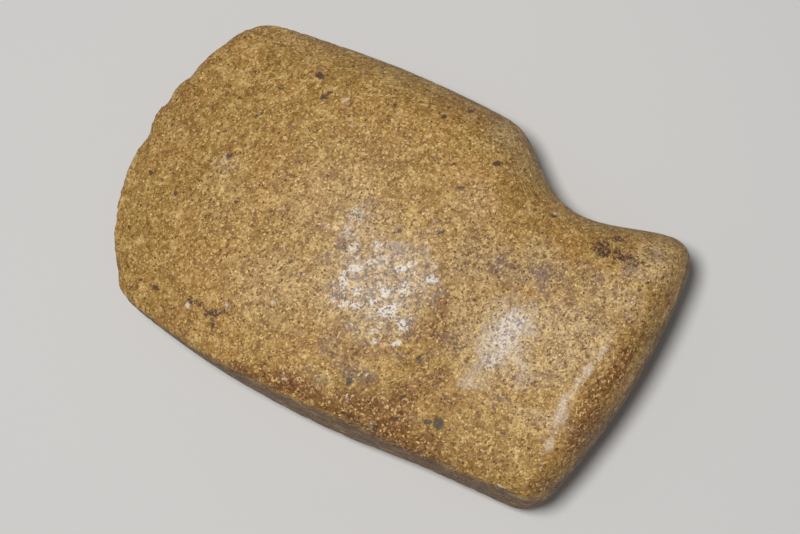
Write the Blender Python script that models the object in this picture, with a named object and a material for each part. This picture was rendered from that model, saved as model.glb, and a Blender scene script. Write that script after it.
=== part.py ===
"""Three-quarter grooved axe head, pecked, ground and polished from one stone.

It lies on its lower face. +X runs from the cutting edge to the butt, +Y from the flat side, where a
haft's wedge bears, to the back, where the groove crosses as a deep notch, and +Z is up. The origin is
on the ground under the middle of the stone. Metres throughout.

The outline seen from above is drawn from its corners. A sphere's meridians are then led through that
outline, and its rings are laid over the two faces and round the rim.
"""

import math

import bmesh
import bpy
import numpy as np

# Outline, measured from the cutting edge (x) and from the flat side (y)
KNOB_FROM_BIT = 0.1500
BLADE_WIDTH = 0.0960
BIT_BOW = 0.0130
BIT_BACK_SETBACK = 0.0157
BIT_FLAT_SETBACK = 0.0077
BIT_FLAT_RISE = 0.0122
BACK_BOW = 0.0021
SHOULDER_FROM_BIT = 0.0945
NOTCH_FROM_SHOULDER = 0.0185
NOTCH_DEPTH = 0.0184
KNOB_DROP = 0.0101
BUTT_BOW = 0.0050
HEEL_SETBACK = 0.0133
FLAT_SIDE_BREAK = 0.0600
FLAT_BREAK_BOW = 0.0014

# Old nicks in the cutting edge: how far from the flat side, how wide and how deep each is
NICKS = [(0.0175, 0.0100, 0.0015), (0.0545, 0.0095, 0.0014), (0.0655, 0.0050, 0.0008), (0.0755, 0.0070, 0.0008)]

# How far each corner of the outline is rounded along its two sides
BIT_BACK_ROUND = 0.0075
SHOULDER_ROUND = 0.0055
NOTCH_ROUND = 0.0120
KNOB_ROUND = 0.0122
HEEL_ROUND = 0.0070
BREAK_ROUND = 0.0250
BIT_FLAT_ROUND = 0.0095

# Faces: the crown is the highest line, from the middle of the blade to the butt
THICKNESS = 0.0490
CROWN_FROM_BIT = 0.0800
CROWN_Y_AT_BLADE = 0.0500
CROWN_Y_AT_BUTT = 0.0430
FACE_FULLNESS = 2.2
EDGE_THICKNESS = 0.0030

# Groove across both faces, parallel to the butt. Each of its sides sweeps up the more gently at its end,
# the larger its sweep is.
GROOVE_LEAN = math.radians(8.5)
GROOVE_DEPTH = 0.0042
GROOVE_FROM_SHOULDER = 0.0260
GROOVE_TO_RIDGE = 0.0243
SHOULDER_SWEEP = 2.0
RIDGE_SWEEP = 1.4
RIDGE_DROP = 0.0018
RIDGE_ROUND = 0.0040
BUTT_BEVEL = math.radians(24)

# Rounding of the rim: how far in it starts, and how square it is (2 is an ellipse)
BIT_RIM = 0.0025
BIT_SQUARENESS = 2.0
BACK_RIM = 0.0170
BACK_SQUARENESS = 2.2
BUTT_RIM = 0.0080
BUTT_SQUARENESS = 2.4
FLAT_RIM = 0.0040
FLAT_SQUARENESS = 4.0

# Flats worn on the stone: the one it lies on, and the seat of the haft's wedge
REST_CUT = 0.0006
WEDGE_CUT = 0.0004

# The flat side leans in towards the top, from this height up, and the face gives way to it over its reach
FLAT_LEAN = math.radians(5.5)
FLAT_LEAN_FROM = 0.0105
FLAT_LEAN_REACH = 0.0150

# Facets: the rings centre on the crown short of the shoulder and lie closer together within RIM_SPAN of the
# outline. A turn of one radian draws as many meridians as TURN_SPACING of straight outline.
POLE_BEFORE_SHOULDER = 0.0075
RIM_SPAN = 0.0160
TURN_SPACING = 0.0160
MERIDIANS = 120
FACE_RINGS = 13
RIM_RINGS = 7
SIDE_STEPS = 240

# How sharply the nearest stretch of outline outweighs the others in the rounding of the rim
SOFTNESS = 7


def between(a, b, share):
    return tuple(p + (q - p) * share for p, q in zip(a, b))


def corners():
    """Corners of the outline, anticlockwise from the bit's back end, each with its rounding and the
    bow and rim of the side that follows it."""
    back = BLADE_WIDTH
    notch_x = SHOULDER_FROM_BIT + NOTCH_FROM_SHOULDER
    bit = (BIT_RIM, BIT_SQUARENESS)
    flat = (FLAT_RIM, FLAT_SQUARENESS)
    butt = (BUTT_RIM, BUTT_SQUARENESS)
    top = (BACK_RIM, BACK_SQUARENESS)
    return [
        ((BIT_BACK_SETBACK, back), BIT_BACK_ROUND, BIT_BOW, bit),
        ((BIT_FLAT_SETBACK, BIT_FLAT_RISE), BIT_FLAT_ROUND, FLAT_BREAK_BOW, flat),
        ((FLAT_SIDE_BREAK, -WEDGE_CUT), BREAK_ROUND, 0.0, flat),
        ((KNOB_FROM_BIT - HEEL_SETBACK, -WEDGE_CUT), HEEL_ROUND, BUTT_BOW, butt),
        ((KNOB_FROM_BIT, back - KNOB_DROP), KNOB_ROUND, 0.0, top),
        ((notch_x, back - NOTCH_DEPTH), NOTCH_ROUND, 0.0, top),
        ((SHOULDER_FROM_BIT, back), SHOULDER_ROUND, BACK_BOW, top),
    ]


def side_points(start, end, bow):
    """Points along one side, bowed outwards, which is to the right on an anticlockwise outline."""
    dx, dy = end[0] - start[0], end[1] - start[1]
    length = math.hypot(dx, dy)
    points = []
    for i in range(SIDE_STEPS + 1):
        t = i / SIDE_STEPS
        out = 4 * bow * t * (1 - t)
        points.append((start[0] + dx * t + dy / length * out, start[1] + dy * t - dx / length * out))
    return points


def trimmed(points, cut_start, cut_end):
    """The side without its first and last stretches, which the corners' rounding takes up."""
    start, end = points[0], points[-1]
    return [p for p in points if math.dist(p, start) > cut_start and math.dist(p, end) > cut_end]


def meeting(p, p_way, q, q_way):
    """Where the line through p and the line through q cross."""
    cross = p_way[0] * q_way[1] - p_way[1] * q_way[0]
    share = ((q[0] - p[0]) * q_way[1] - (q[1] - p[1]) * q_way[0]) / cross
    return (p[0] + p_way[0] * share, p[1] + p_way[1] * share)


def nicked(point):
    """A point of the outline, moved in where a nick has broken the cutting edge."""
    x, y, *rim = point
    if x < BIT_BACK_SETBACK:
        for place, width, depth in NICKS:
            across = (y - place) / (width / 2)
            x += depth * max(0.0, 1 - across * across) ** 2
    return (x, y, *rim)


def outline():
    """Points (x, y, rim, squareness) round the stone, closely spaced and unevenly."""
    drawn = corners()
    count = len(drawn)
    sides = []
    for i, (corner, rounding, bow, rim) in enumerate(drawn):
        next_corner, next_rounding = drawn[(i + 1) % count][:2]
        points = side_points(corner, next_corner, bow)
        sides.append((trimmed(points, rounding, next_rounding), rim))
    path = []
    for i, (points, rim) in enumerate(sides):
        path += [(*p, *rim) for p in points]
        following, next_rim = sides[(i + 1) % count]
        p, q = points[-1], following[0]
        p_way = (p[0] - points[-2][0], p[1] - points[-2][1])
        q_way = (following[1][0] - q[0], following[1][1] - q[1])
        turn = meeting(p, p_way, q, q_way)
        for k in range(1, SIDE_STEPS):
            t = k / SIDE_STEPS
            bend = between(between(p, turn, t), between(turn, q, t), t)
            path.append((*bend, *between(rim, next_rim, t * t * (3 - 2 * t))))
    return [nicked(point) for point in path]


def evenly(path, count):
    """The closed path as count points, evenly along it but closer together where it turns."""
    closed = path + path[:2]
    along = [0.0]
    for a, b, c in zip(closed, closed[1:], closed[2:]):
        bearing = math.atan2(b[1] - a[1], b[0] - a[0])
        turn = math.remainder(math.atan2(c[1] - b[1], c[0] - b[0]) - bearing, math.tau)
        along.append(along[-1] + math.dist(a[:2], b[:2]) + TURN_SPACING * abs(turn))
    points, k = [], 0
    for i in range(count):
        target = along[-1] * i / count
        while along[k + 1] < target:
            k += 1
        share = (target - along[k]) / (along[k + 1] - along[k])
        points.append(between(closed[k], closed[k + 1], share))
    return points


def groove_relief(h, ridge_drop):
    """Height of a face against the crown at distance h along the stone from the groove's floor line."""
    side_drop = np.where(h < 0, 0.0, ridge_drop)
    across = h / np.where(h < 0, GROOVE_FROM_SHOULDER, GROOVE_TO_RIDGE)
    sweep = np.where(h < 0, SHOULDER_SWEEP, RIDGE_SWEEP)
    hollow = (GROOVE_DEPTH - side_drop) * np.maximum(0.0, 1 - across * across) ** sweep
    past = h - GROOVE_TO_RIDGE + RIDGE_ROUND / 2
    bend = np.clip(past, 0.0, RIDGE_ROUND) ** 2 / (2 * RIDGE_ROUND)
    bevel = (bend + np.maximum(0.0, past - RIDGE_ROUND)) * math.tan(BUTT_BEVEL)
    return -hollow - side_drop - bevel


def face_height(x, y, ridge_drop):
    """Height of a face above the rim's mid level, before the rim is rounded."""
    crown_length = KNOB_FROM_BIT - BUTT_RIM - CROWN_FROM_BIT
    reach = np.clip((x - CROWN_FROM_BIT) / crown_length, 0.0, 1.0)
    crown_x = CROWN_FROM_BIT + reach * crown_length
    crown_y = CROWN_Y_AT_BLADE + reach * (CROWN_Y_AT_BUTT - CROWN_Y_AT_BLADE)
    away = np.minimum(np.hypot(x - crown_x, y - crown_y) / CROWN_FROM_BIT, 1.0)
    half = THICKNESS / 2
    edge = EDGE_THICKNESS / 2
    floor_x = SHOULDER_FROM_BIT + GROOVE_FROM_SHOULDER
    h = (x - floor_x) * math.cos(GROOVE_LEAN) - (y - BLADE_WIDTH) * math.sin(GROOVE_LEAN)
    return edge + (half - edge) * (1 - away**FACE_FULLNESS) + groove_relief(h, ridge_drop)


def rim_factor(x, y, path):
    """Share of the face's height left at each place by the rounding of the rim. The distance from the
    outline is a soft one, in which near stretches of it add up, so corners round over without a mitre."""
    px, py, rim, squareness = np.array(path).T
    step = np.hypot(np.roll(px, -1) - px, np.roll(py, -1) - py)
    steps = (step + np.roll(step, 1)) / 2
    apart = np.hypot(x[:, None] - px, y[:, None] - py) + 1e-6
    pull = steps * apart**-SOFTNESS
    share = pull / pull.sum(axis=1, keepdims=True)
    straight = math.gamma(0.5) * math.gamma((SOFTNESS - 1) / 2) / math.gamma(SOFTNESS / 2)
    soft = (straight / pull.sum(axis=1)) ** (1 / (SOFTNESS - 1))
    inwards = 1 - np.minimum(np.minimum(soft, apart.min(axis=1)) / (share @ rim), 1.0)
    power = share @ squareness
    return (1 - inwards**power) ** (1 / power)


def sphere_rows(shape):
    """Which meridian and which ring each vertex of the UV sphere is on, the rings counted from its top."""
    ball = np.array([vertex.co for vertex in shape.verts])
    turn = np.arctan2(ball[:, 1], ball[:, 0]) / math.tau
    down = np.arccos(np.clip(ball[:, 2], -1, 1)) / math.pi
    rings = 2 * (FACE_RINGS + RIM_RINGS)
    return np.round(turn * MERIDIANS).astype(int) % MERIDIANS, np.round(down * rings)


def laid_out(path, meridian, from_pole):
    """Places on the plan: meridians run from the pole to the outline, and rings gather towards it."""
    ends = np.array(evenly(path, MERIDIANS))[meridian, :2]
    crown_y = (CROWN_Y_AT_BLADE + CROWN_Y_AT_BUTT) / 2
    pole = np.array((SHOULDER_FROM_BIT - POLE_BEFORE_SHOULDER, crown_y))
    reach = ends - pole
    rim_start = 1 - RIM_SPAN / np.hypot(reach[:, 0], reach[:, 1])
    over_rim = np.clip((from_pole - FACE_RINGS) / RIM_RINGS, 0, 1)
    out = rim_start * np.minimum(from_pole / FACE_RINGS, 1) + (1 - rim_start) * np.sin(over_rim * math.pi / 2)
    return (pole + reach * out[:, None]).T


def leaned(y, z):
    """Distance from the flat side's foot once that side leans in."""
    share = np.clip(1 - y / FLAT_LEAN_REACH, 0.0, 1.0) ** 2
    return y + np.maximum(z - FLAT_LEAN_FROM, 0.0) * math.tan(FLAT_LEAN) * share


def stone_mesh():
    """The stone, shaped from a UV sphere whose meridians end on the outline."""
    half_rings = FACE_RINGS + RIM_RINGS
    shape = bmesh.new()
    bmesh.ops.create_uvsphere(shape, u_segments=MERIDIANS, v_segments=2 * half_rings, radius=1.0)
    meridian, ring = sphere_rows(shape)
    from_pole = np.minimum(ring, 2 * half_rings - ring)
    path = outline()
    x, y = laid_out(path, meridian, from_pole)

    up = np.where(from_pole == half_rings, 0.0, rim_factor(x, y, path))
    top = face_height(x, y, RIDGE_DROP) * up
    rest_depth = THICKNESS / 2 - REST_CUT
    underside = np.minimum(face_height(x, y, 0.0) * up, rest_depth)
    z = rest_depth + np.where(ring <= half_rings, top, -underside)
    y = leaned(np.maximum(y, 0.0), z)
    x -= (x.min() + x.max()) / 2
    y -= (y.min() + y.max()) / 2
    for vertex, place in zip(shape.verts, zip(x, y, z)):
        vertex.co = place
    mesh = bpy.data.meshes.new("axe_head")
    shape.to_mesh(mesh)
    shape.free()
    mesh.shade_smooth()
    return mesh


def stone_material():
    """Tan, fine-grained stone with a dull polish."""
    material = bpy.data.materials.new("stone")
    material.use_nodes = True
    shader = material.node_tree.nodes["Principled BSDF"]
    shader.inputs["Base Color"].default_value = (0.38, 0.24, 0.11, 1.0)
    shader.inputs["Roughness"].default_value = 0.5
    shader.inputs["Metallic"].default_value = 0.0
    return material


def main():
    for obj in list(bpy.data.objects):
        bpy.data.objects.remove(obj)
    collection = bpy.data.collections.new("grooved_axe")
    bpy.context.scene.collection.children.link(collection)
    axe = bpy.data.objects.new("axe_head", stone_mesh())
    axe.data.materials.append(stone_material())
    collection.objects.link(axe)


if __name__ == "__main__":
    main()
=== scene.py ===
"""Looks of the grooved stone axe head: its weathered surface, its stone, and the stage it lies on.

Run as a script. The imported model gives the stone's form, and everything here is in metres in its frame:
+X runs from the cutting edge to the butt, +Y from the flat side to the grooved back, +Z is up.
"""

import math

import bmesh
import bpy
import numpy as np
from bpy.props import FloatProperty, FloatVectorProperty, PointerProperty
from bpy.types import Operator, Panel, PropertyGroup
from mathutils import Matrix, Vector, noise


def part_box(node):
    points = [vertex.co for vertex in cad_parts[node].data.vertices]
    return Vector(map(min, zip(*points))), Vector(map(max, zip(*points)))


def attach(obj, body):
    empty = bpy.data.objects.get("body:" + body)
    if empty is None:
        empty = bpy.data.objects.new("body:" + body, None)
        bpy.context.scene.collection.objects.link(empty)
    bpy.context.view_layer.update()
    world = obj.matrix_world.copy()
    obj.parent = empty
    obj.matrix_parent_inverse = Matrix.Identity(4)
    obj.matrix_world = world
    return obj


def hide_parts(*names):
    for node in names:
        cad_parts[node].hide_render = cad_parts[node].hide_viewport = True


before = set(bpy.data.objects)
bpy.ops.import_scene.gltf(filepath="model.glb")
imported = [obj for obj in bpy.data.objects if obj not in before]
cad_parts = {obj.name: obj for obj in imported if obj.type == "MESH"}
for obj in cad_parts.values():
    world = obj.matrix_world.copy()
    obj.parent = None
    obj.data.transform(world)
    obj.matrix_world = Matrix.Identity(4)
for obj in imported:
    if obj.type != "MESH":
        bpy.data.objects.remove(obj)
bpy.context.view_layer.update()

bl_info = {
    "name": "Grooved stone axe head",
    "version": (1, 0, 0),
    "blender": (4, 5, 0),
    "location": "3D View > Sidebar > Axe head",
    "description": "Surfaces a grooved stone axe head and sets its stage",
    "category": "Add Mesh",
}

NODE = "axe_head"
LOW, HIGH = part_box(NODE)
MIDDLE_Z = (LOW.z + HIGH.z) / 2
MM = 0.001

SAME_PLACE = 0.001 * MM  # points as near as this become one

# Smoothing of the grid: rounds over all of it, then more rounds on all but the arris and the cutting edge.
SMOOTHING_ALL_OVER = 3
SMOOTHING_OF_FACES = 12
CRISP_ARRIS = 5 * MM  # how far from the flat side the arris stays crisp
CRISP_EDGE = 2 * MM  # how far from its tip the cutting edge stays crisp
ARRIS_TURN = (0.15, 0.97)  # how far the surface faces the flat side on the arris: least and most

# Ranges over which something sets in, each from none to all. Lengths are distances, and plain numbers say
# how far the surface faces one way: 1 is straight that way and -1 straight away.
UPPER = (-0.1, 0.25)  # facing up, like the next two
UNDERNEATH = (-0.2, -0.9)
STEEP = (0.5, 0.08)
POLISHED = (0.75, 0.97)  # facing up or down
ARRIS_SLOPE = (0.25, 0.6)  # facing the flat side, and also up or down
FLAT_SIDE_OR_BUTT = (0.55, 0.98)  # facing one of them or between them
ROUGH_BUTT = (22 * MM, 4 * MM)  # from the butt's end
WORN_ARRIS = (14 * MM, 4 * MM)  # from the flat side
WORN_EDGE = (5 * MM, 1 * MM)  # from the cutting edge
RESTING = (1.5 * MM, 0.1 * MM)  # above the floor

# How the wear is shaped, and how much each kind counts.
EDGE_BOW = 13 * MM  # how far the cutting edge curves back at the stone's full width
GROUND_AWAY = 0.85  # share of a peck mark's depth that polish has taken
PUT_BACK = 0.5  # share of it that rough pecking has put back on the butt
EDGE_WEAR = 0.7  # wear of the cutting edge as a share of the arris's
CHIP_SHARPNESS = 1.8  # more makes chips with steeper sides
DIMPLE_RADIUS = 0.55  # of a dimple, as a share of the distance between two
RIPPLE_SEED = 3.1
WEAR_SEED = 7.3

# Painted shade on the steep sides: a darker brown laid over them, most on the flat side and the butt.
SIDE_SHADE_SHARE = 0.5  # on every steep side
MORE_SIDE_SHADE = 0.4  # added on the flat side and the butt
LESS_SIDE_SHADE = 0.4  # share taken off underneath

# Grains: the span of their cells, and the strength of the dark and of the pale ones.
GRAIN_SIZES = ((0.95 * MM, 0.8, 0.5), (0.34 * MM, 0.9, 0.8), (0.5 * MM, 1.0, 0.8))
GRAIN_RELIEF = 0.28 * MM
POLISH_ROUGHNESS = 0.36

# A mark fades out at MARK_REACH times its half length and half width. Noise above the break level widens it,
# and noise below that eats into its edge.
MARK_REACH = 1.5
BREAK_LEVEL = 0.62
NOISE_MIDDLE = 0.5  # the mean of the noise

FLOOR_ROUGHNESS = 0.9
NEAREST_SEEN = 10 * MM


def length(name, description, default):
    return FloatProperty(name=name, description=description, default=default, unit="LENGTH", precision=5)


def angle(name, description, degrees):
    return FloatProperty(
        name=name, description=description, default=math.radians(degrees), subtype="ANGLE"
    )


def colour(name, description, default):
    return FloatVectorProperty(
        name=name, description=description, default=default, subtype="COLOR", size=3, min=0.0, max=1.0
    )


class AxeSurface(PropertyGroup):
    """Sizes of the relief on the stone."""

    grid: length("Grid", "Spacing of the surface's points", 0.7 * MM)
    swell_span: length("Swell span", "How far apart the hand-ground swells lie", 26 * MM)
    swell_depth: length("Swell depth", "How deep the ground hollows between swells are", 0.45 * MM)
    ripple_span: length("Ripple span", "How far apart the small unevennesses lie", 8 * MM)
    ripple_depth: length("Ripple depth", "How deep the small unevennesses are", 0.14 * MM)
    peck_span: length("Peck span", "Distance between peck marks", 2.6 * MM)
    peck_depth: length("Peck depth", "Depth of the peck marks where polish has spared them", 0.25 * MM)
    wear_depth: length("Wear depth", "How far the arris of the flat side is chipped back", 0.6 * MM)
    wear_span: length("Wear span", "Length of one chip along an arris", 4.0 * MM)


class AxeColours(PropertyGroup):
    """Colours of the stone and of what lies on it, and of the shade and sheen painted on it."""

    ochre: colour("Ochre", "Main colour of the stone", (0.445, 0.233, 0.050))
    olive: colour("Olive", "Greener stone in between", (0.395, 0.226, 0.044))
    # Partly painted sheen: this colour lightens and greys the high places.
    sand_and_sheen: colour("Sand", "Paler, greyer stone on the high places", (0.53, 0.385, 0.225))
    rust: colour("Rust", "Reddish brown between the ochre areas", (0.270, 0.105, 0.022))
    rust_stain: colour("Rust stain", "What the rusty areas let through", (0.58, 0.44, 0.36))
    # Painted shade: this colour darkens the steep sides, most the flat side and the butt.
    skin: colour("Skin", "What the dark skin on the steep sides lets through", (0.40, 0.33, 0.29))
    umber: colour("Umber", "Brown hollows between the grains", (0.180, 0.078, 0.009))
    dark_grain: colour("Dark grain", "Dark crystals in the stone", (0.080, 0.032, 0.006))
    pale_grain: colour("Pale grain", "Pale crystals in the stone", (0.86, 0.60, 0.245))
    # Partly painted highlight: this colour also whitens the crown's sheen and a spot on the groove floor.
    deposit_and_sheen: colour("Deposit", "Pale crust left on the crown", (0.80, 0.725, 0.62))
    # Partly painted highlight: this colour also whitens the groove floor, the butt's crest and the crown.
    scuff_and_sheen: colour("Scuff", "Pale, greyish rubbing on the crests", (0.71, 0.59, 0.45))
    maroon: colour("Maroon", "Dark stain", (0.052, 0.018, 0.012))
    speck: colour("Speck", "Small dark specks", (0.072, 0.036, 0.024))
    slate: colour("Slate", "Purple grey bruising near the groove", (0.190, 0.120, 0.098))
    green_grain: colour("Green grain", "Dull green inclusions", (0.070, 0.060, 0.036))


class AxeStage(PropertyGroup):
    """Floor, lights and camera."""

    floor_colour: colour("Floor", "Colour of the floor", (0.66, 0.65, 0.635))
    floor_size: length("Floor size", "Side of the square floor", 6.0)
    lens: FloatProperty(name="Lens", description="Focal length in millimetres", default=100.0)
    distance: length("Distance", "From the camera to the middle of the stone", 0.6028)
    tilt: angle("Tilt", "Camera's lean from straight above", 7)
    bearing: angle("Bearing", "Where the camera leans to", -50)
    roll: angle("Roll", "Turn of the picture on the stone", 22.69)
    shift_right: length("Shift right", "Camera's offset to the picture's right", 2.49 * MM)
    shift_up: length("Shift up", "Camera's offset up the picture", -2.46 * MM)
    key: FloatProperty(name="Key", description="Power of the main light", default=6.1, subtype="POWER")
    key_size: length("Key size", "Width of the main light", 0.16)
    key_back: length("Key back", "From the stone's middle to the main light, towards the camera", 0.85)
    key_up: length("Key up", "How far up the picture the main light stands", 0.08)
    key_left: length("Key left", "How far to the picture's left the main light stands", 0.12)
    fill: FloatProperty(name="Fill", description="Strength of the light all round", default=0.15)


# Marks on the upper face: middle x and y, half length, half width (all mm), bearing of the length (degrees)
# and strength. Bearings count from +X towards +Y. They were placed by eye in the photo, some broad areas with
# the help of a comparison of its colours with the render's, and a separate script turned most into mm.

# Pale crust, mostly on the crown, where the broad faint ones also paint the crown's sheen, and two before the
# butt that paint a highlight on the groove floor.
DEPOSITS_AND_SHEEN = [
    (6.6, -15.3, 2.3, 1.8, 23, 1.0),
    (4.2, -11.0, 1.6, 1.6, 23, 0.9),
    (7.7, -13.2, 1.3, 1.3, 23, 0.85),
    (2.3, -14.6, 2.1, 1.0, 23, 0.75),
    (8.3, -7.3, 1.6, 1.3, 23, 0.8),
    (8.6, -9.2, 1.3, 1.0, 23, 0.75),
    (14.0, -3.2, 2.1, 1.3, 23, 0.8),
    (11.9, -17.1, 1.8, 1.8, 23, 0.75),
    (6.6, -19.3, 0.8, 1.3, 23, 0.7),
    (5.6, -3.6, 2.1, 1.0, 23, 0.75),
    (7.6, -1.6, 2.1, 1.3, 23, 0.6),
    (-5.5, -8.2, 2.6, 1.3, 22, 0.7),
    (-2.2, -5.2, 2.1, 0.8, 23, 0.65),
    (-7.0, -12.0, 1.6, 3.1, 22, 0.65),
    (-3.1, -13.8, 2.1, 1.6, 22, 0.62),
    (-4.3, -17.6, 2.1, 1.6, 22, 0.52),
    (-1.6, -17.4, 1.6, 1.3, 22, 0.62),
    (-7.9, -3.3, 2.1, 2.1, 22, 0.58),
    (-2.0, -0.3, 2.6, 1.6, 23, 0.5),
    (5.3, -21.5, 1.8, 1.3, 23, 0.52),
    (6.7, -23.7, 1.6, 1.0, 23, 0.55),
    (12.0, -22.1, 1.6, 0.8, 43, 0.75),
    (0.5, -2.9, 1.8, 1.3, 23, 0.45),
    (-10.7, -0.1, 3.2, 1.6, 22, 0.36),
    (9.5, -4.0, 1.3, 1.6, 23, 0.5),
    (13.3, 0.4, 1.6, 2.1, 23, 0.36),
    (8.1, 2.5, 3.1, 2.4, 23, 0.32),
    (-13.0, -7.9, 2.6, 2.6, 22, 0.3),
    (3.5, -9.9, 12.5, 10.4, 23, 0.36),
    (-7.9, -6.3, 3.7, 3.1, 22, 0.38),
    (-7.1, -16.0, 3.7, 5.8, 22, 0.35),
    (1.0, -2.0, 6.8, 3.2, 23, 0.35),
    (3.0, -22.5, 7.0, 4.2, 3, 0.32),
    (10.5, -17.0, 5.2, 5.2, 23, 0.38),
    # Painted highlight on the groove floor.
    (37.3, -6.9, 7.9, 3.3, 78, 0.5),
    (36.1, -17.0, 3.6, 2.4, 68, 0.42),
    (-10.3, 5.8, 3.7, 2.1, 53, 0.42),
]

# Small pale flecks and scratches; the three long thin ones along the arris of the flat side and the one at
# the lower end of the butt's crest are painted glints.
PALE_DOTS_AND_GLINTS = [
    (-25.9, 32.7, 1.0, 3.2, 22, 0.50),
    (-21.4, 26.0, 0.9, 1.8, 22, 0.45),
    (-49.4, 6.0, 2.0, 2.0, 19, 0.42),
    (14.0, -44.1, 0.6, 2.1, 23, 0.60),
    (-43.8, -33.6, 0.9, 1.2, 21, 0.85),
    (-33.5, -29.8, 0.6, 1.0, 21, 0.80),
    (-43.7, -21.7, 1.1, 0.4, 20, 0.80),
    (-22.0, -24.5, 0.7, 0.8, 20, 0.90),
    (8.0, -32.5, 0.5, 0.7, 20, 0.90),
    (-12.0, -41.5, 0.8, 1.0, 20, 0.70),
    (-10.5, 12.9, 0.6, 0.6, 22, 0.80),
    (17.6, 4.3, 0.6, 0.4, 24, 0.70),
    (36.6, 26.6, 0.6, 0.6, 31, 0.90),
    (5.5, -39.8, 1.2, 0.4, 112, 0.90),
    # Painted glints along the arris of the flat side, and one at the crest's lower end.
    (36.4, -47.4, 1.5, 0.3, -2, 0.80),
    (44.9, -46.9, 1.0, 0.2, 3, 0.80),
    (51.1, -45.6, 1.3, 0.3, 8, 0.80),
    (58.7, -36.0, 0.6, 0.5, 23, 0.80),
]

# Pale marks: the first four a painted highlight on the groove floor, the next five a painted glint along the
# butt's crest, and the three broad ones on the crown painted sheen over real rubbing; then a few short
# scratches and greyer rubbing on the knob.
SCUFFS_AND_SHEEN = [
    # Painted highlight on the groove floor.
    (37.2, -8.7, 9.5, 5.0, 78, 1.0),
    (37.0, -9.0, 12.0, 8.0, 78, 0.65),
    (43.0, -16.5, 6.0, 4.5, 40, 0.4),
    (34.4, -20.9, 6.3, 5.2, 23, 0.65),
    # Painted glint along the butt's crest.
    (61.9, -3.0, 4.0, 0.8, 78, 0.5),
    (60.0, -10.1, 4.5, 1.2, 78, 0.6),
    (58.5, -16.5, 4.5, 1.8, 82, 0.7),
    (58.2, -22.5, 4.0, 2.2, 85, 0.72),
    (58.4, -29.5, 4.0, 1.7, 88, 0.55),
    # Painted sheen on the crown, over real rubbing.
    (3.5, -9.9, 13.0, 11.0, 23, 0.5),
    (2.0, -7.0, 18.0, 15.0, 33, 0.4),
    (-9.0, 1.0, 7.0, 6.0, 23, 0.45),
    (24.0, -37.5, 2.6, 0.9, 23, 0.5),
    (46.0, -20.0, 2.2, 0.8, 40, 0.5),
    (20.0, 14.6, 2.4, 0.5, 34, 0.55),
    (65.8, 24.0, 5.8, 6.3, 23, 0.25),
    (62.3, 11.4, 7.8, 5.8, -19, 0.25),
]

# Gaps in the crust of the crown.
BARE_SPOTS = [
    (-3.3, -9.9, 2.9, 1.0, 22, 1.0),
    (-0.2, -10.6, 1.3, 0.8, 22, 0.8),
    (3.8, -19.3, 1.8, 1.3, 23, 1.0),
    (6.2, -6.2, 1.6, 1.0, 23, 1.0),
    (9.1, -5.0, 1.0, 1.0, 23, 0.9),
    (1.8, 2.2, 1.6, 1.1, 23, 0.9),
    (8.6, -18.7, 1.6, 1.0, 23, 1.0),
    (15.1, -7.3, 2.1, 1.8, 24, 1.0),
    (7.2, -11.4, 1.6, 0.8, 23, 0.9),
    (9.9, -10.9, 2.1, 0.8, 23, 1.0),
    (4.9, -13.8, 1.6, 0.8, 33, 0.8),
    (-0.7, -20.1, 1.3, 1.0, 22, 0.7),
    (15.7, -12.1, 2.1, 1.8, 24, 0.9),
    (1.1, -6.4, 1.6, 1.0, 23, 0.7),
    (1.9, -12.2, 1.0, 0.8, 23, 0.6),
]

# Dark stains on the knob of the butt and towards the flat side.
MAROON_STAINS = [
    (51.7, 22.0, 3.1, 3.4, 34, 0.85),
    (56.6, 22.5, 3.0, 2.3, 1, 0.77),
    (60.0, 22.1, 1.4, 2.6, 34, 0.72),
    (54.3, 26.7, 2.1, 1.2, 35, 0.77),
    (49.5, 16.8, 1.4, 1.0, 73, 0.59),
    (50.0, 12.1, 1.7, 1.7, 22, 0.55),
    (-43.2, -32.0, 1.4, 1.4, 20, 0.77),
    (-40.4, -32.1, 2.2, 1.0, -7, 0.72),
    (-36.3, -33.1, 2.9, 1.4, 21, 0.85),
    (-34.0, -31.6, 1.7, 1.4, 50, 0.77),
    (-35.3, -35.5, 0.9, 2.1, 21, 0.77),
    (9.0, -44.2, 3.4, 1.3, -2, 0.72),
]

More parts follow.
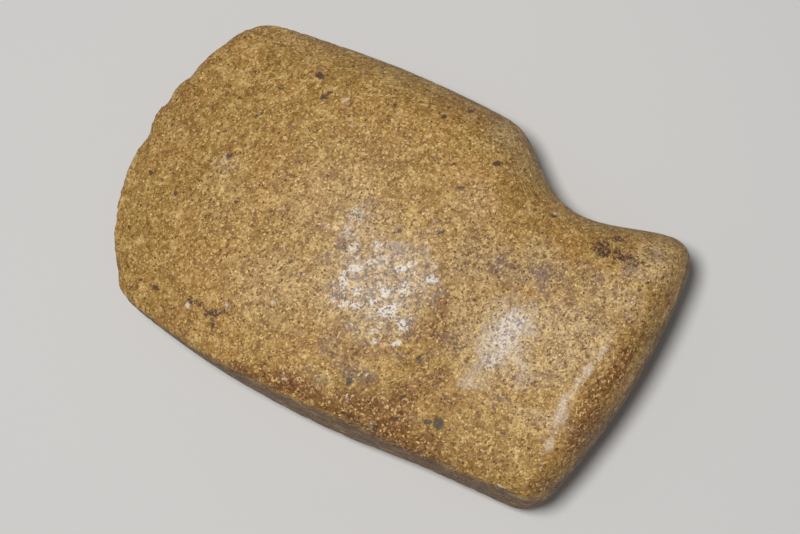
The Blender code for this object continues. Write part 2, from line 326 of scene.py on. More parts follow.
# Small dark specks all over.
DARK_SPECKS = [
    (13.4, -3.2, 0.5, 0.4, 23, 1.0),
    (11.7, 8.9, 1.3, 0.5, 33, 0.9),
    (-68.6, -4.2, 0.8, 0.8, 105, 1.0),
    (-59.2, -7.0, 0.7, 1.1, 19, 0.9),
    (-48.8, 7.4, 1.4, 0.9, 29, 0.9),
    (-43.9, 29.7, 1.6, 1.2, 41, 0.7),
    (-46.5, 20.2, 1.3, 0.7, 68, 0.8),
    (-69.1, 11.5, 1.1, 0.6, 38, 0.7),
    (-35.4, 36.6, 1.5, 1.1, -20, 1.0),
    (-31.7, 31.1, 0.9, 1.4, 105, 1.0),
    (-30.7, 33.0, 1.1, 0.6, 32, 0.9),
    (-14.1, 38.3, 0.7, 0.6, 24, 0.9),
    (-13.1, 36.1, 0.8, 0.6, 24, 0.9),
    (0.0, 38.4, 0.9, 0.6, 68, 1.0),
    (5.5, 43.1, 1.1, 0.7, 43, 1.0),
    (2.9, 31.5, 0.4, 0.4, 23, 1.0),
    (11.6, 21.9, 1.7, 0.5, 36, 1.0),
    (17.7, 31.8, 1.6, 0.8, 32, 1.0),
    (18.9, 32.4, 0.8, 0.6, 27, 0.8),
    (18.3, 22.2, 0.8, 0.5, 54, 0.8),
    (31.5, 24.8, 1.1, 0.8, 49, 0.7),
    (36.7, 25.6, 1.1, 0.6, 39, 0.9),
    (11.4, 8.8, 1.0, 0.7, 33, 0.7),
    (1.1, 5.0, 1.3, 0.8, 33, 0.85),
    (-10.3, -4.2, 0.8, 1.3, 22, 0.7),
    (-54.3, -32.4, 1.2, 0.8, -7, 1.0),
    (-61.1, -34.5, 0.9, 0.8, 19, 0.8),
    (-59.2, -32.1, 0.9, 0.8, 19, 0.8),
    (-39.4, -15.6, 0.8, 0.8, 82, 0.9),
    (-46.7, -9.9, 1.7, 1.4, 20, 0.6),
    (-42.0, -3.6, 0.8, 0.7, 20, 0.9),
    (-64.0, -18.3, 0.6, 0.4, 19, 1.0),
    (-68.3, -19.7, 0.6, 0.4, 18, 1.0),
    (-51.4, -25.1, 0.9, 0.5, 20, 0.8),
    (-28.3, -18.4, 1.1, 0.7, 41, 0.8),
    (-21.8, -13.1, 1.3, 0.7, 41, 0.8),
    (-36.7, -23.1, 1.4, 1.1, 30, 0.5),
    (48.8, -17.7, 1.2, 0.5, 58, 1.0),
    (46.3, -32.5, 0.5, 0.8, 83, 1.0),
    (42.4, -25.1, 0.8, 0.5, 22, 0.7),
    (35.8, -40.5, 0.8, 0.5, 22, 0.6),
    (18.9, -33.9, 1.0, 0.5, 43, 0.9),
    (19.1, -40.0, 1.6, 0.8, 23, 0.8),
    (64.7, 15.4, 0.9, 0.6, 25, 1.0),
    (66.0, 6.9, 0.7, 0.5, 25, 0.9),
    (56.5, 0.1, 0.6, 0.5, 23, 0.9),
    (54.7, -1.5, 0.5, 0.4, 22, 0.8),
    (47.1, 16.4, 0.8, 0.4, 44, 0.9),
    (44.1, 14.9, 0.5, 0.5, 23, 0.8),
    (72.2, 17.5, 0.9, 0.7, 31, 0.8),
    (45.8, 1.7, 1.3, 0.8, 2, 0.5),
    (46.9, -7.8, 1.0, 0.8, 2, 0.45),
]

# Green inclusions, mostly towards the flat side.
GREEN_GRAINS = [
    (30.0, -36.7, 1.6, 1.8, 23, 1.0),
    (27.1, -37.4, 1.3, 0.8, 23, 0.9),
    (14.7, -44.3, 1.3, 0.8, 23, 1.0),
    (4.4, -35.8, 1.1, 1.3, 23, 0.9),
    (19.0, -23.3, 1.3, 1.2, 23, 0.75),
    (-70.2, 23.0, 0.8, 0.7, 69, 0.6),
    (-37.9, 16.7, 0.8, 0.8, 20, 0.7),
]

# Purple grey bruising round the crown and in the groove.
SLATE_PATCHES = [
    (-1.1, -22.5, 2.1, 1.8, 22, 0.8),
    (8.3, -21.4, 2.3, 1.0, 23, 0.7),
    (4.3, -24.7, 1.6, 1.0, 23, 0.7),
    (-11.0, -3.4, 1.1, 1.6, 22, 0.9),
    (6.4, 6.7, 1.6, 1.1, 23, 0.7),
    (1.0, 5.9, 1.6, 0.8, 23, 0.9),
    (-12.4, -9.4, 2.1, 1.3, 22, 0.4),
    (0.7, -30.4, 6.3, 3.6, 22, 0.6),
    (-2.2, -37.7, 3.7, 2.3, 22, 0.8),
    (-7.9, -37.8, 2.4, 2.1, 22, 0.55),
    (11.3, -10.3, 4.2, 3.6, 23, 0.4),
    (33.2, 10.2, 8.4, 3.7, 12, 0.6),
    (44.9, 9.4, 5.3, 5.3, 53, 0.6),
    (26.0, -16.5, 6.8, 3.1, 43, 0.6),
    (38.0, -20.2, 4.2, 2.3, 33, 0.5),
    (42.4, -25.1, 2.6, 2.1, 22, 0.45),
    (-10.7, 6.7, 4.2, 4.8, 63, 0.5),
    (-10.8, -4.4, 2.1, 2.6, 22, 0.8),
    (5.7, 1.5, 7.8, 5.8, 23, 0.4),
    (53.7, -14.8, 2.6, 6.2, 98, 0.5),
    (6.0, -32.7, 5.8, 3.6, 23, 0.7),
    (-4.0, -29.3, 3.2, 3.6, 22, 0.7),
    (35.5, 8.3, 8.9, 4.2, 13, 0.7),
    (28.5, 8.0, 4.2, 3.1, 24, 0.8),
    (42.8, 6.3, 5.2, 3.2, -18, 0.7),
    (63.0, 20.0, 9.0, 8.0, 23, 0.42),
    (8.6, -25.4, 8.9, 6.2, 23, 0.42),
    (49.3, 12.4, 6.8, 5.3, 23, 0.42),
]

# Rusty areas, mostly along the flat side and round the butt.
RUST_AREAS = [
    (15.5, -18.3, 3.6, 2.0, 43, 0.8),
    (19.7, -10.9, 2.6, 2.1, 24, 0.9),
    (12.7, -9.7, 1.3, 2.1, 23, 0.8),
    (15.7, 0.1, 1.3, 2.6, 24, 0.7),
    (11.7, -39.8, 6.3, 4.1, 13, 1.0),
    (-9.7, -41.9, 7.5, 3.6, -2, 0.95),
    (18.9, -33.9, 4.7, 4.1, 23, 0.8),
    (23.5, -27.4, 6.8, 4.1, 33, 0.7),
    (22.2, -44.8, 18.2, 3.6, -1, 0.85),
    (1.8, -43.3, 10.5, 3.1, -3, 0.85),
    (-22.3, -44.2, 5.4, 2.1, -5, 0.9),
    (-41.8, -40.5, 2.3, 1.6, -7, 0.6),
    (18.0, -7.4, 3.7, 4.6, 43, 0.7),
    (20.0, -15.0, 5.2, 3.6, 43, 0.6),
    (65.8, -23.6, 10.4, 3.2, 81, 1.0),
    (67.6, -4.5, 9.4, 3.2, 83, 0.9),
    (65.0, -14.0, 12.0, 3.4, 82, 0.8),
    (61.7, -40.8, 7.1, 3.1, 24, 0.7),
    (43.6, -41.5, 10.4, 4.7, 3, 0.5),
    (-34.5, 14.4, 12.2, 7.4, 41, 0.3),
    (-58.4, 0.0, 5.9, 9.0, 72, 0.3),
    (-13.3, 22.6, 9.6, 6.0, 2, 0.45),
    (5.0, 43.6, 10.8, 5.6, -6, 0.45),
    (-45.0, -22.8, 16.7, 6.0, 30, 0.25),
    (69.0, 6.0, 3.2, 6.3, 82, 0.6),
    (17.9, -41.0, 7.3, 7.7, 23, 1.0),
    (6.7, -41.5, 5.3, 6.4, 23, 0.9),
    (30.0, -42.9, 6.6, 3.9, 3, 0.8),
    (-12.7, -43.1, 6.7, 2.6, -5, 0.9),
    (30.3, -30.1, 3.7, 2.6, 23, 0.7),
    (-3.1, -24.7, 2.1, 3.6, 22, 0.6),
    (18.6, -15.6, 5.7, 3.6, -6, 0.7),
    (2.6, -28.0, 3.7, 2.6, 22, 0.7),
    (-69.5, 15.1, 10.9, 7.1, -28, 0.45),
    (-48.9, -39.2, 10.6, 5.5, 49, 0.45),
    (68.5, 17.1, 5.5, 6.7, 26, 0.3),
    (69.0, -20.7, 7.2, 4.9, 28, 0.4),
    (64.4, -36.8, 5.6, 6.6, 25, 0.4),
    (64.8, 5.4, 5.8, 6.2, 24, 0.42),
    (13.8, -41.4, 7.9, 3.6, 52, 0.5),
    (62.8, -23.6, 6.9, 5.6, 24, 0.6),
]

# Paler, greyer areas on the crown, the ridge and the butt, and fainter ones on the blade: partly the stone's
# sandy tone and partly painted sheen on the high places.
SANDY_AND_SHEEN_AREAS = [
    (-23.7, -20.3, 13.4, 10.5, 21, 0.5),
    (27.6, -10.2, 7.8, 12.9, 24, 0.65),
    (56.9, 0.6, 7.2, 8.4, 22, 0.75),
    (-44.3, -3.8, 11.1, 8.2, 20, 0.3),
    (62.5, 21.7, 5.7, 5.1, 22, 0.8),
    (3.3, -9.4, 15.6, 12.0, 33, 0.7),
    (37.0, -9.0, 6.8, 10.4, 53, 1.0),
    (-18.9, 5.8, 15.8, 13.5, 42, 0.35),
    (16.4, 40.6, 5.8, 5.9, -5, 0.6),
    (54.1, -4.8, 12.0, 6.2, 68, 0.75),
    (62.2, 22.4, 6.9, 6.3, 24, 0.35),
    (59.2, -25.1, 2.1, 13.0, 93, 0.8),
    (22.6, 35.9, 4.7, 6.5, 52, 0.4),
    (-48.7, 4.5, 4.5, 3.3, 19, 0.6),
    (-45.1, 43.5, 9.6, 3.3, 5, 0.3),
    (65.8, 24.0, 5.8, 6.3, 23, 0.9),
    (62.3, 11.4, 7.8, 5.8, -19, 0.6),
    (55.3, 11.4, 5.2, 5.3, 22, 0.6),
    (43.9, -15.5, 6.2, 4.7, 23, 1.0),
    (23.7, 5.9, 8.9, 8.8, 24, 0.65),
    (38.1, 12.3, 6.3, 6.9, 23, 0.6),
    (-5.6, 4.8, 6.8, 6.4, 22, 0.6),
    (-10.8, -16.6, 4.8, 11.8, 22, 0.5),
    (17.4, 19.5, 6.8, 8.0, 24, 0.4),
    (49.2, -1.1, 9.9, 6.8, 22, 0.9),
]

# Polished high places: the crown, the ridge and the crest of the butt.
POLISHED_AREAS = [
    (3.3, -9.4, 15.6, 12.0, 33, 0.8),
    (37.0, -9.0, 6.0, 9.0, 23, 1.0),
    (61.9, -4.1, 8.0, 1.6, 76, 0.8),
    (58.3, -21.0, 10.0, 1.8, 85, 0.9),
    (-18.9, 5.8, 15.8, 13.5, 42, 0.35),
]

# Each list, under the name of the attribute that carries it to the material.
MARKS = {
    "deposit_and_sheen": DEPOSITS_AND_SHEEN,
    "dots_and_glints": PALE_DOTS_AND_GLINTS,
    "bare": BARE_SPOTS,
    "scuff_and_sheen": SCUFFS_AND_SHEEN,
    "maroon": MAROON_STAINS,
    "specks": DARK_SPECKS,
    "green": GREEN_GRAINS,
    "slate": SLATE_PATCHES,
    "rust": RUST_AREAS,
    "sand_and_sheen": SANDY_AND_SHEEN_AREAS,
    "polish": POLISHED_AREAS,
}


def smooth_step(low, high, value):
    """0 below low, 1 above high and a smooth rise between. With low above high it falls instead."""
    t = np.clip((value - low) / (high - low), 0.0, 1.0)
    return t * t * (3 - 2 * t)


def noise_at(points, span, seed=0.0):
    """Smooth noise, about -1 to 1, with hills span apart."""
    shift = Vector((seed, seed * 1.7, seed * 0.3))
    return np.array([noise.noise(Vector(p) / span + shift) for p in points])


def dimples_at(points, span):
    """Round dimples span apart: 1 in the middle of each and 0 between them."""
    nearest = np.array([noise.voronoi(Vector(p) / span)[0][0] for p in points])
    return np.clip(1 - (nearest / DIMPLE_RADIUS) ** 2, 0.0, 1.0)


def marked(points, marks):
    """How far each point is within any of the marks: the strength in the middle and 0 outside."""
    inside = np.zeros(len(points))
    for x, y, half_length, half_width, bearing, strength in marks:
        turn = math.radians(bearing)
        dx = points[:, 0] - x * MM
        dy = points[:, 1] - y * MM
        along = (dx * math.cos(turn) + dy * math.sin(turn)) / (half_length * MM)
        across = (dy * math.cos(turn) - dx * math.sin(turn)) / (half_width * MM)
        inside = np.maximum(inside, strength * np.clip(MARK_REACH - np.hypot(along, across), 0.0, 1.0))
    return inside


def painted_side_shade(normals):
    """How far the painted shade covers each point: on steep sides, and most on the flat side and the butt."""
    steep = smooth_step(*STEEP, normals[:, 2])
    underneath = smooth_step(*UNDERNEATH, normals[:, 2])
    facing = np.hypot(np.minimum(normals[:, 1], 0), np.maximum(normals[:, 0], 0))
    flat_side_or_butt = smooth_step(*FLAT_SIDE_OR_BUTT, facing)
    return steep * (1 - LESS_SIDE_SHADE * underneath) * (SIDE_SHADE_SHARE + MORE_SIDE_SHADE * flat_side_or_butt)


def points_of(mesh, normals=False):
    flat = np.zeros(len(mesh.vertices) * 3)
    mesh.vertices.foreach_get("normal" if normals else "co", flat)
    return flat.reshape(-1, 3)


def after_modifier(mesh, kind, loose=None, **settings):
    """The mesh after one modifier. Where loose points are named, the others stay as they are."""
    helper = bpy.data.objects.new("helper", mesh)
    bpy.context.scene.collection.objects.link(helper)
    if loose is not None:
        helper.vertex_groups.new(name="loose").add(loose, 1.0, "REPLACE")
        settings["vertex_group"] = "loose"
    modifier = helper.modifiers.new(kind, kind)
    for name, value in settings.items():
        setattr(modifier, name, value)
    bpy.context.view_layer.update()
    evaluated = helper.evaluated_get(bpy.context.evaluated_depsgraph_get())
    result = bpy.data.meshes.new_from_object(evaluated)
    bpy.data.objects.remove(helper)
    bpy.data.meshes.remove(mesh)
    return result


def fine_mesh(spacing):
    """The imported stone's surface as an even grid of points, smooth but for the arris of the flat side and
    the cutting edge."""
    shape = bmesh.new()
    shape.from_mesh(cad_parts[NODE].data)
    bmesh.ops.remove_doubles(shape, verts=shape.verts, dist=SAME_PLACE)
    coarse = bpy.data.meshes.new("coarse")
    shape.to_mesh(coarse)
    shape.free()
    mesh = after_modifier(coarse, "REMESH", mode="VOXEL", voxel_size=spacing)
    mesh = after_modifier(mesh, "SMOOTH", factor=0.5, iterations=SMOOTHING_ALL_OVER)
    points = points_of(mesh)
    facing_flat_side = -points_of(mesh, normals=True)[:, 1]
    near_flat_side = points[:, 1] < LOW.y + CRISP_ARRIS
    turning = (facing_flat_side > ARRIS_TURN[0]) & (facing_flat_side < ARRIS_TURN[1])
    edge = points[:, 0] < LOW.x + CRISP_EDGE
    loose = np.flatnonzero(~((near_flat_side & turning) | edge)).tolist()
    return after_modifier(mesh, "SMOOTH", loose, factor=0.5, iterations=SMOOTHING_OF_FACES)


def weathered(points, normals, surface):
    """How far in the surface is worn at each point. The patch that the stone rests on stays true."""
    from_flat_side = points[:, 1] - LOW.y
    from_butt = HIGH.x - points[:, 0]
    from_edge = points[:, 0] - LOW.x - EDGE_BOW * (points[:, 1] / HIGH.y) ** 2
    level = np.abs(normals[:, 2])
    swell = surface.swell_depth * (0.5 + 0.5 * noise_at(points, surface.swell_span))
    ripple = surface.ripple_depth * (0.5 + 0.5 * noise_at(points, surface.ripple_span, RIPPLE_SEED))

    ground_away = GROUND_AWAY * smooth_step(*POLISHED, level)
    put_back = PUT_BACK * smooth_step(*ROUGH_BUTT, from_butt)
    rough = np.clip(1 - ground_away + put_back, 0.0, 1.0)
    pecks = surface.peck_depth * rough * dimples_at(points, surface.peck_span)

    arris = smooth_step(*ARRIS_SLOPE, -normals[:, 1]) * smooth_step(*ARRIS_SLOPE, level)
    arris *= smooth_step(*WORN_ARRIS, from_flat_side)
    edge = smooth_step(*WORN_EDGE, from_edge)
    chipped = np.clip(noise_at(points, surface.wear_span, WEAR_SEED) * CHIP_SHARPNESS, 0.0, 1.0)
    wear = surface.wear_depth * np.maximum(arris, EDGE_WEAR * edge) * chipped
    resting = smooth_step(*RESTING, points[:, 2] - LOW.z)
    return (swell + ripple + pecks + wear) * (1 - resting)


def filled_out(points):
    """The points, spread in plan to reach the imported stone's sides, as smoothing and wear draw them in."""
    low = points[:, :2].min(axis=0)
    high = points[:, :2].max(axis=0)
    share = (points[:, :2] - low) / (high - low)
    plan = np.array(LOW.xy) + share * np.array(HIGH.xy - LOW.xy)
    return np.column_stack((plan, points[:, 2]))


def store(mesh, name, values):
    layer = mesh.attributes.new(name, "FLOAT", "POINT")
    layer.data.foreach_set("value", values.astype(np.float32))


def rgb(value):
    return (*value, 1.0)


class StoneNodes:
    """The stone's node tree: the noises that its looks share, and shorthand for building on them."""

    def __init__(self, material):
        material.use_nodes = True
        self.tree = material.node_tree
        self.shader = self.tree.nodes["Principled BSDF"]
        self.place = self.tree.nodes.new("ShaderNodeTexCoord").outputs["Object"]
        self.ragged = self.jostled(0.5 * MM, 0.7 * MM)
        self.broad = self.noise(15 * MM, 3.0, 0.55)
        self.blotch = self.noise(4.5 * MM, 4.0, 0.62)
        self.clump = self.noise(1.9 * MM, 4.0, 0.66)
        self.grain = self.noise(0.55 * MM, 3.0, 0.7)
        self.frost = self.noise(0.8 * MM, 4.0, 0.8, self.ragged)
        self.tone = self.cells(0.5 * MM, "Color")

    def link(self, value, socket):
        if isinstance(value, bpy.types.NodeSocket):
            self.tree.links.new(value, socket)
        else:
            socket.default_value = value

    def noise(self, span, detail, roughness, place=None, output="Fac"):
        """Noise with hills span apart."""
        node = self.tree.nodes.new("ShaderNodeTexNoise")
        self.link(place or self.place, node.inputs["Vector"])
        node.inputs["Scale"].default_value = 1 / span
        node.inputs["Detail"].default_value = detail
        node.inputs["Roughness"].default_value = roughness
        return node.outputs[output]

    def jostled(self, span, reach):
        """The surface's place, shaken by up to about half of reach so that round things turn ragged."""
        shake = self.tree.nodes.new("ShaderNodeVectorMath")
        shake.operation = "MULTIPLY_ADD"
        self.link(self.noise(span, 2.0, 0.6, output="Color"), shake.inputs[0])
        shake.inputs[1].default_value = (reach, reach, reach)
        self.link(self.place, shake.inputs[2])
        return shake.outputs[0]

    def cells(self, span, output):
        """Ragged cells span across: the Distance from each one's middle, or a Color of its own."""
        node = self.tree.nodes.new("ShaderNodeTexVoronoi")
        self.link(self.ragged, node.inputs["Vector"])
        node.inputs["Scale"].default_value = 1 / span
        return node.outputs[output]

    def attribute(self, name):
        node = self.tree.nodes.new("ShaderNodeAttribute")
        node.attribute_name = name
        return node.outputs["Fac"]

    def maths(self, operation, a, b):
        node = self.tree.nodes.new("ShaderNodeMath")
        node.operation = operation
        self.link(a, node.inputs[0])
        self.link(b, node.inputs[1])
        return node.outputs[0]

    def times(self, a, b):
        return self.maths("MULTIPLY", a, b)

    def larger(self, a, b):
        return self.maths("MAXIMUM", a, b)

    def between(self, value, low, high, to_low, to_high):
        """The value's way from low to high, smoothly mapped to to_low and to_high."""
        node = self.tree.nodes.new("ShaderNodeMapRange")
        node.interpolation_type = "SMOOTHSTEP"
        for socket, setting in zip(node.inputs, (value, low, high, to_low, to_high)):
            self.link(setting, socket)
        return node.outputs["Result"]

    def share(self, value, none, full, most=1.0):
        """0 where the value is none, most where it is full and a smooth way between."""
        return self.between(value, none, full, 0.0, most)

    def mix(self, share, a, b, blend="MIX"):
        node = self.tree.nodes.new("ShaderNodeMix")
        node.data_type = "RGBA"
        node.blend_type = blend
        self.link(share, node.inputs["Factor"])
        colours = [socket for socket in node.inputs if socket.type == "RGBA"]
        self.link(a, colours[0])
        self.link(b, colours[1])
        return next(socket for socket in node.outputs if socket.type == "RGBA")

    def lay(self, base, tint, share, blend="MIX"):
        """The base colour with this share of it under the tint."""
        return self.mix(share, base, rgb(tint), blend)

    def broken(self, level, grain, spread, softness):
        """Covers the surface where the level is 1, is broken up by grain where it is lower and leaves the
        surface free at 0."""
        reach = self.times(self.maths("SUBTRACT", grain, BREAK_LEVEL), spread)
        level = self.times(level, 1 + (BREAK_LEVEL - NOISE_MIDDLE) * spread)
        level = self.maths("ADD", level, reach)
        return self.share(level, 0.5 - softness, 0.5 + softness)

    def patch(self, name, grain, spread, softness):
        """A mark's share of the surface: solid in the middle and broken up by grain towards its edge."""
        return self.broken(self.attribute(name), grain, spread, softness)

    def dark_crystals(self, span, rarity, size):
        """Dark grains of uneven size and outline: at most one in each cell of this span, and fewer with
        more rarity."""
        radius = self.share(self.cells(span, "Color"), rarity, 1.0, size)
        depth = self.maths("SUBTRACT", radius, self.cells(span, "Distance"))
        return self.times(self.share(depth, -0.03, 0.04), self.share(radius, 0.0, 0.04))


def ground_colour(nodes, colours, bruised, rubbed_and_sheen):
    """Ochre stone with greener, sandy, brown, bruised and rubbed areas; the sandy and rubbed ones are partly
    painted sheen and highlight.
    """
    base = nodes.mix(nodes.share(nodes.broad, 0.38, 0.62), rgb(colours.ochre), rgb(colours.olive))
    # Paler, greyer stone, partly painted sheen on the high places.
    base = nodes.lay(base, colours.sand_and_sheen, nodes.share(nodes.attribute("sand_and_sheen"), 0.0, 1.0, 0.7))
    base = nodes.lay(base, colours.rust, nodes.share(nodes.blotch, 0.52, 0.72, 0.6))
    base = nodes.lay(base, colours.slate, nodes.times(bruised, 0.75))
    uneven = nodes.between(nodes.grain, 0.35, 0.60, 0.2, 0.7)
    # Part pale rubbing, part painted highlight and sheen.
    return nodes.lay(base, colours.scuff_and_sheen, nodes.times(rubbed_and_sheen, uneven))


def with_grains(nodes, colours, base):
    """The base colour, speckled with brown hollows and pale grains of several sizes."""
    base = nodes.lay(base, colours.pale_grain, nodes.share(nodes.blotch, 0.50, 0.30, 0.5))
    base = nodes.lay(base, colours.umber, nodes.share(nodes.clump, 0.53, 0.31, 0.7))
    base = nodes.lay(base, colours.pale_grain, nodes.share(nodes.clump, 0.53, 0.72, 0.4))
    for span, dark, pale in GRAIN_SIZES:
        tone = nodes.cells(span, "Color")
        base = nodes.lay(base, colours.umber, nodes.share(tone, 0.32, 0.04, dark))
        base = nodes.lay(base, colours.pale_grain, nodes.share(tone, 0.70, 0.96, pale))
    return nodes.lay(base, colours.umber, nodes.share(nodes.grain, 0.52, 0.28, 0.6))


def with_rust(nodes, colours, base):
    """The base colour with its rusty areas, and with dark pits and pale glints in rusty and sandy ones; the
    sandy ones are partly painted sheen.
    """
    rust = nodes.patch("rust", nodes.clump, 2.4, 0.5)
    base = nodes.lay(base, colours.rust_stain, rust, "MULTIPLY")
    lively = nodes.larger(rust, nodes.share(nodes.attribute("sand_and_sheen"), 0.0, 0.8, 0.6))
    pits = nodes.times(lively, nodes.share(nodes.tone, 0.38, 0.15, 0.65))
    glints = nodes.times(lively, nodes.share(nodes.tone, 0.66, 0.88, 0.65))
    base = nodes.lay(base, colours.dark_grain, pits)
    return nodes.lay(base, colours.pale_grain, glints)


def crust_and_sheen_share(nodes):
    """How far the pale crust of the crown, partly painted sheen and highlight, and the pale dots with their
    painted glints cover the surface.
    """
    covered = nodes.maths("SUBTRACT", nodes.times(nodes.attribute("deposit_and_sheen"), 1.3), nodes.attribute("bare"))
    crust_and_sheen = nodes.broken(covered, nodes.frost, 4.5, 0.28)
    crust_and_sheen = nodes.times(crust_and_sheen, nodes.between(nodes.tone, 0.15, 0.5, 0.05, 0.95))
    # Pale flecks, and painted glints along the arris and at the crest's end.
    dots_and_glints = nodes.times(nodes.patch("dots_and_glints", nodes.frost, 2.5, 0.35), 0.75)
    return nodes.larger(crust_and_sheen, dots_and_glints)


def with_marks(nodes, colours, base, crust_and_sheen):
    """The base colour with inclusions, dark hollows and pinholes round the crust, the crust with its painted
    sheen and highlight, specks and stains."""
    green = nodes.patch("green", nodes.frost, 1.6, 0.25)
    base = nodes.lay(base, colours.green_grain, nodes.times(green, 0.9))
    crust_and_sheen_mask = nodes.attribute("deposit_and_sheen")
    hollows = nodes.times(nodes.share(crust_and_sheen_mask, 0.1, 0.5), nodes.share(nodes.clump, 0.50, 0.41, 0.8))
    pinholes = nodes.times(nodes.share(crust_and_sheen_mask, 0.1, 0.4), nodes.share(nodes.tone, 0.42, 0.15, 0.85))
    base = nodes.lay(base, colours.slate, nodes.larger(hollows, pinholes))
    # Pale crust, with painted sheen on the crown and painted highlight on the groove floor.
    base = nodes.lay(base, colours.deposit_and_sheen, crust_and_sheen)
    specks = nodes.patch("specks", nodes.frost, 3.0, 0.3)
    base = nodes.lay(base, colours.speck, nodes.times(specks, 0.9))
    stains = nodes.patch("maroon", nodes.frost, 5.0, 0.35)
    return nodes.lay(base, colours.maroon, nodes.times(stains, 0.9))


def stone_colour(nodes, colours, crust_and_sheen):
    """Ochre ground with browner and paler areas, speckled with grains, with painted shade on the steep sides
    and the marks on top."""
    bruised = nodes.patch("slate", nodes.blotch, 3.0, 0.5)
    # Rubbed areas, with painted highlight on the groove floor, the butt's crest and the crown.
    rubbed_and_sheen = nodes.patch("scuff_and_sheen", nodes.blotch, 2.8, 0.5)
    base = ground_colour(nodes, colours, bruised, rubbed_and_sheen)
    base = with_grains(nodes, colours, base)
    base = with_rust(nodes, colours, base)
    base = nodes.lay(base, colours.slate, nodes.times(bruised, 0.3))
    # Painted highlight and rubbing laid again over the grains.
    base = nodes.lay(base, colours.scuff_and_sheen, nodes.times(rubbed_and_sheen, 0.45))
    base = nodes.lay(base, colours.dark_grain, nodes.share(nodes.tone, 0.15, 0.04, 0.7))
    base = nodes.lay(base, colours.pale_grain, nodes.share(nodes.tone, 0.88, 0.97, 0.6))
    # Painted shade: the steep sides multiplied darker, most the flat side and the butt.
    base = nodes.lay(base, colours.skin, nodes.patch("side", nodes.blotch, 2.5, 0.6), "MULTIPLY")
    small = nodes.dark_crystals(2.4 * MM, 0.55, 0.22)
    large = nodes.dark_crystals(5.5 * MM, 0.60, 0.16)
    base = nodes.lay(base, colours.dark_grain, nodes.times(nodes.larger(small, large), 0.7))
    return with_marks(nodes, colours, base, crust_and_sheen)


def stone_material(colours):
    """Ochre, even-grained stone with crystals, stains, a pale crust and painted sheen and highlights,
    polished on its high places.
    """
    material = bpy.data.materials.new("ground stone")
    nodes = StoneNodes(material)
    crust_and_sheen = crust_and_sheen_share(nodes)
    nodes.link(stone_colour(nodes, colours, crust_and_sheen), nodes.shader.inputs["Base Color"])
    grain_roughness = nodes.between(nodes.grain, 0.35, 0.65, 0.75, 0.5)
    roughness = nodes.maths("ADD", grain_roughness, nodes.share(crust_and_sheen, 0.0, 1.0, 0.15))
    nodes.link(roughness, nodes.shader.inputs["Roughness"])
    polish = nodes.between(nodes.attribute("polish"), 0.0, 1.0, 0.02, 0.7)
    polish = nodes.times(polish, nodes.between(nodes.grain, 0.40, 0.62, 0.2, 1.0))
    nodes.link(polish, nodes.shader.inputs["Coat Weight"])
    nodes.shader.inputs["Coat Roughness"].default_value = POLISH_ROUGHNESS

    height = nodes.maths("ADD", nodes.times(nodes.grain, 0.5), nodes.clump)
    bump = nodes.tree.nodes.new("ShaderNodeBump")
    bump.inputs["Strength"].default_value = 1.0
    bump.inputs["Distance"].default_value = GRAIN_RELIEF
    nodes.link(height, bump.inputs["Height"])
    for socket in ("Normal", "Coat Normal"):
        nodes.link(bump.outputs["Normal"], nodes.shader.inputs[socket])
    return material


class AXE_OT_stone(Operator):
    """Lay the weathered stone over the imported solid"""

    bl_idname = "axe.stone"
    bl_label = "Stone"

    def execute(self, context):
        surface = context.scene.axe_surface
        mesh = fine_mesh(surface.grid)
        points = points_of(mesh)
        normals = points_of(mesh, normals=True)
        worn = points - normals * weathered(points, normals, surface)[:, None]
        worn = np.clip(filled_out(worn), LOW, HIGH)
        mesh.vertices.foreach_set("co", worn.ravel())
        upper = smooth_step(*UPPER, normals[:, 2])
        for name, marks in MARKS.items():
            store(mesh, name, marked(points, marks) * upper)
        # Painted shade on the steep sides, carried to the material as the side attribute.
        store(mesh, "side", painted_side_shade(normals))
        mesh.shade_smooth()
        mesh.name = "axe_stone"
        mesh.materials.clear()
        mesh.materials.append(stone_material(context.scene.axe_colours))
        piece = bpy.data.objects.new("axe_stone", mesh)
        context.scene.collection.objects.link(piece)
        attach(piece, "root")
        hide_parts(NODE)
        return {"FINISHED"}


def plain_material(name, tint, roughness):
    material = bpy.data.materials.new(name)
    material.use_nodes = True
    shader = material.node_tree.nodes["Principled BSDF"]
    shader.inputs["Base Color"].default_value = rgb(tint)
    shader.inputs["Roughness"].default_value = roughness
    return material


def camera_axes(stage):
    """The picture's right and up, and the way back to the camera, as unit vectors."""
    lean = math.sin(stage.tilt)
    back = Vector((lean * math.cos(stage.bearing), lean * math.sin(stage.bearing), math.cos(stage.tilt)))
    across = (Vector((1, 0, 0)) - back * back.x).normalized()
    above = back.cross(across)
    right = across * math.cos(stage.roll) + above * math.sin(stage.roll)
    return right, back.cross(right), back


def set_floor(stage):
    bpy.ops.mesh.primitive_plane_add(size=stage.floor_size, location=(0, 0, LOW.z))
    floor = bpy.context.object
    floor.name = "floor"
    floor.data.materials.append(plain_material("floor", stage.floor_colour, FLOOR_ROUGHNESS))


def set_camera(scene, stage, middle, axes):
    right, up, back = axes
    camera = bpy.data.cameras.new("camera")
    camera.lens = stage.lens
    camera.clip_start = NEAREST_SEEN
    holder = bpy.data.objects.new("camera", camera)
    turned = Matrix(axes).transposed().to_4x4()
    aim = middle + right * stage.shift_right + up * stage.shift_up
    turned.translation = aim + back * stage.distance
    holder.matrix_world = turned
    scene.collection.objects.link(holder)
    scene.camera = holder


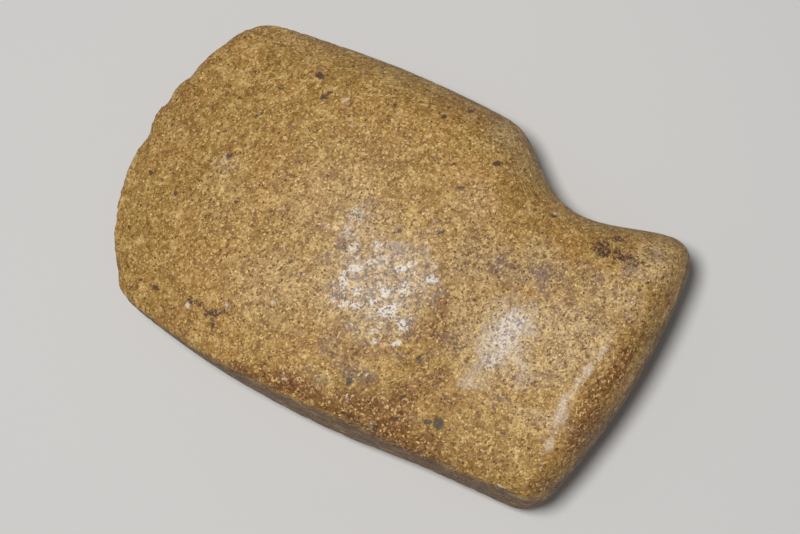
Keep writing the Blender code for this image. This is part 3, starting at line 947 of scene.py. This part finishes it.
def set_lights(scene, stage, middle, axes):
    """One soft main light beside the camera, and plain white light from all round."""
    right, up, back = axes
    light = bpy.data.lights.new("key", "AREA")
    light.shape = "DISK"
    light.size = stage.key_size
    light.energy = stage.key
    lamp = bpy.data.objects.new("key", light)
    from_middle = back * stage.key_back + up * stage.key_up - right * stage.key_left
    lamp.location = middle + from_middle
    lamp.rotation_euler = from_middle.to_track_quat("Z", "Y").to_euler()
    scene.collection.objects.link(lamp)

    world = bpy.data.worlds.new("studio")
    world.use_nodes = True
    background = world.node_tree.nodes["Background"]
    background.inputs["Color"].default_value = (1.0, 1.0, 1.0, 1.0)
    background.inputs["Strength"].default_value = stage.fill
    scene.world = world


class AXE_OT_stage(Operator):
    """Set the floor, the lights and the camera"""

    bl_idname = "axe.stage"
    bl_label = "Stage"

    def execute(self, context):
        scene = context.scene
        stage = scene.axe_stage
        middle = Vector((0, 0, MIDDLE_Z))
        axes = camera_axes(stage)
        set_floor(stage)
        set_camera(scene, stage, middle, axes)
        set_lights(scene, stage, middle, axes)
        scene.view_settings.view_transform = "Standard"
        return {"FINISHED"}


class AXE_PT_panel(Panel):
    """Lists the axe head's steps and values"""

    bl_idname = "AXE_PT_panel"
    bl_label = "Axe head"
    bl_space_type = "VIEW_3D"
    bl_region_type = "UI"
    bl_category = "Axe head"

    def draw(self, context):
        layout = self.layout
        for operator in (AXE_OT_stone, AXE_OT_stage):
            layout.operator(operator.bl_idname)
        for group in (context.scene.axe_surface, context.scene.axe_colours, context.scene.axe_stage):
            box = layout.box()
            for name in group.__annotations__:
                box.prop(group, name)


CLASSES = (AxeSurface, AxeColours, AxeStage, AXE_OT_stone, AXE_OT_stage, AXE_PT_panel)


def register():
    for cls in CLASSES:
        bpy.utils.register_class(cls)
    bpy.types.Scene.axe_surface = PointerProperty(type=AxeSurface)
    bpy.types.Scene.axe_colours = PointerProperty(type=AxeColours)
    bpy.types.Scene.axe_stage = PointerProperty(type=AxeStage)


def unregister():
    del bpy.types.Scene.axe_stage
    del bpy.types.Scene.axe_colours
    del bpy.types.Scene.axe_surface
    for cls in reversed(CLASSES):
        bpy.utils.unregister_class(cls)


def main():
    register()
    bpy.ops.axe.stone()
    bpy.ops.axe.stage()


if __name__ == "__main__":
    main()
